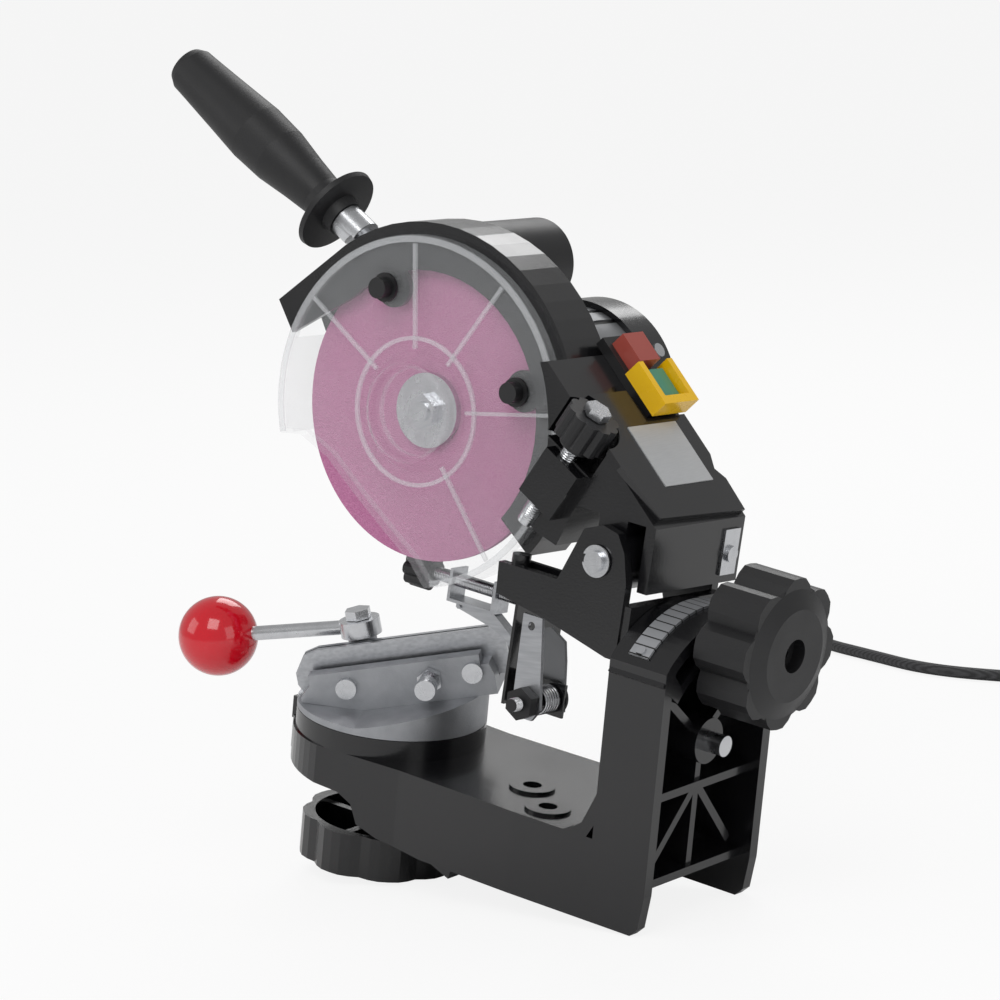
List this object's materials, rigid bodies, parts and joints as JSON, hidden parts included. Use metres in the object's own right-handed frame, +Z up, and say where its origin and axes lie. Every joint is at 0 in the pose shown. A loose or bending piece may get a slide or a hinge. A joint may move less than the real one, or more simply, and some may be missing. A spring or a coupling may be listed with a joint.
{
  "type": "electric chainsaw sharpener",
  "caption": "Bench grinder for saw chain: pink wheel in a guard on a swinging, tilting motor head over a turning vise with a cam lever.",
  "frame": {"origin": "middle of the bounding box, on the table it stands on, mains lead left out", "axes": "+Z up, +X the operator's right, -Y towards the operator; the base is pitched 9.4 degrees, front up, as in the picture"},
  "size_m": [0.6153, 0.4541, 0.3921],
  "materials": {
    "black_enamel": "gloss",
    "black_plastic": "matte",
    "grey_cast": "satin",
    "bright_steel": "satin",
    "grey_enamel": "satin",
    "red_ball": "gloss",
    "pink_abrasive": "matte",
    "clear_plastic": "gloss",
    "yellow_plastic": "gloss",
    "red_button": "gloss",
    "green_button": "gloss",
    "silver_label": "satin",
    "motor_core": "satin",
    "black_rubber": "matte"
  },
  "bodies": {
    "base": {"base_casting": "black_enamel", "scale_band": "silver_label", "index_pointer": "black_enamel", "strain_relief": "black_rubber", "mains_cord": "black_rubber", "cord_coil": "black_rubber", "mains_plug": "black_rubber"},
    "turntable": {"turntable_disc": "grey_cast", "vise_block": "grey_cast", "fixed_rail": "bright_steel", "rail_screws": "bright_steel", "clamp_bolt": "bright_steel", "lever_pivot_bolt": "bright_steel"},
    "lock_knob": {"turntable_lock_knob": "black_plastic"},
    "rail": {"moving_rail": "bright_steel"},
    "lever": {"cam_lever": "bright_steel", "lever_ball": "red_ball"},
    "bracket": {"tilt_bracket": "black_enamel", "tilt_pivot_bolt": "bright_steel", "tilt_lock_stud": "bright_steel", "hinge_pin": "bright_steel", "hinge_circlips": "bright_steel", "return_spring": "bright_steel", "stop_plate": "bright_steel", "stop_rod_spring": "bright_steel", "link_bolt": "bright_steel", "link_spring": "bright_steel", "grey_lever": "grey_enamel"},
    "tilt_knob": {"tilt_lock_knob": "black_plastic"},
    "head": {"head_arm": "black_enamel", "box_cover": "black_enamel", "rating_plate": "silver_label", "cover_clip": "bright_steel", "wheel_guard": "black_enamel", "clear_cover": "clear_plastic", "cover_nuts": "black_plastic", "motor_barrel": "grey_enamel", "motor_end_cap": "black_enamel", "motor_screws": "bright_steel", "stator": "motor_core", "motor_bearings": "bright_steel", "condenser_housing": "black_plastic", "handle_grip": "black_plastic", "handle_stem": "bright_steel", "switch_body": "black_plastic", "switch_guard": "yellow_plastic"},
    "wheel": {"motor_shaft": "bright_steel", "rotor": "motor_core", "grinding_wheel": "pink_abrasive", "inner_flange": "bright_steel", "outer_flange": "bright_steel", "spindle_nut": "bright_steel"},
    "depth": {"depth_screw": "bright_steel", "depth_knob": "black_plastic"},
    "red": {"red_button": "red_button"},
    "green": {"green_button": "green_button"},
    "stop_screw": {"stop_knob": "black_plastic"},
    "stop_slide": {"stop_carrier": "bright_steel"},
    "pawl": {"chain_pawl": "bright_steel"},
    "link": {"side_link": "bright_steel"}
  },
  "joints": [
    {"name": "vise_turn", "type": "hinge", "parent": "base", "child": "turntable", "pos_m": [0.05474, -0.04963, 0.07938], "axis": [0, 0.1633, 0.9866], "range_deg": [-65, 5]},
    {"name": "lock_knob_turn", "type": "hinge", "parent": "turntable", "child": "lock_knob", "pos_m": [0.05474, -0.05992, 0.01723], "axis": [0, 0.1633, 0.9866], "continuous": true},
    {"name": "cam_lever_swing", "type": "hinge", "parent": "turntable", "child": "lever", "pos_m": [0.05461, -0.06716, 0.11914], "axis": [0.1294, -0.0634, 0.9896], "range_deg": [-60, 0]},
    {"name": "rail_clamp", "type": "slide", "parent": "turntable", "child": "rail", "axis": [0.866, 0.4933, -0.0817], "range_m": [-0.001, 0]},
    {"name": "head_tilt", "type": "hinge", "parent": "base", "child": "bracket", "pos_m": [0.05474, 0.10423, 0.0904], "axis": [0, 0.9866, -0.1633], "range_deg": [-10, 40]},
    {"name": "tilt_knob_turn", "type": "hinge", "parent": "bracket", "child": "tilt_knob", "pos_m": [0.05029, 0.16186, 0.13235], "axis": [0, 0.9866, -0.1633], "continuous": true},
    {"name": "head_swing", "type": "hinge", "parent": "bracket", "child": "head", "pos_m": [0.04803, 0.10097, 0.16869], "axis": [0.9962, 0.0142, 0.086], "range_deg": [0, 13], "stiffness_Nm_per_rad": 6, "springref_deg": -77.35},
    {"name": "wheel_spin", "type": "hinge", "parent": "head", "child": "wheel", "pos_m": [0.0448, -0.02422, 0.22677], "axis": [0.9962, 0.0142, 0.086], "continuous": true},
    {"name": "depth_screw_turn", "type": "hinge", "parent": "head", "child": "depth", "pos_m": [0.07356, 0.08389, 0.22465], "axis": [-0.0772, 0.6013, 0.7953], "continuous": true},
    {"name": "red_button_press", "type": "slide", "parent": "head", "child": "red", "axis": [0.0668, -0.7588, -0.6479], "range_m": [0, 0.002], "stiffness_N_per_m": 400, "springref_m": -0.001},
    {"name": "green_button_press", "type": "slide", "parent": "head", "child": "green", "axis": [0.0668, -0.7588, -0.6479], "range_m": [0, 0.002], "stiffness_N_per_m": 400, "springref_m": -0.001},
    {"name": "stop_knob_turn", "type": "hinge", "parent": "bracket", "child": "stop_screw", "pos_m": [0.03923, -0.0384, 0.14723], "axis": [0, 0.9866, -0.1633], "range_deg": [-1080, 1080]},
    {"name": "stop_carrier_slide", "type": "slide", "parent": "bracket", "child": "stop_slide", "axis": [0, 0.9866, -0.1633], "range_m": [-0.003, 0.003]},
    {"name": "pawl_swing", "type": "hinge", "parent": "stop_slide", "child": "pawl", "pos_m": [0.04024, -0.01465, 0.13148], "axis": [0.9962, 0.0142, 0.086], "range_deg": [-15, 0]},
    {"name": "side_link_swing", "type": "hinge", "parent": "bracket", "child": "link", "pos_m": [0.08562, 0.05732, 0.1009], "axis": [0.9962, 0.0142, 0.086], "range_deg": [0, 25]}
  ],
  "couplings": [
    {"joint": "rail_clamp", "follows": "cam_lever_swing", "m_per_rad": 0.00095397},
    {"joint": "stop_carrier_slide", "follows": "stop_knob_turn", "m_per_rad": 0.000159}
  ]
}
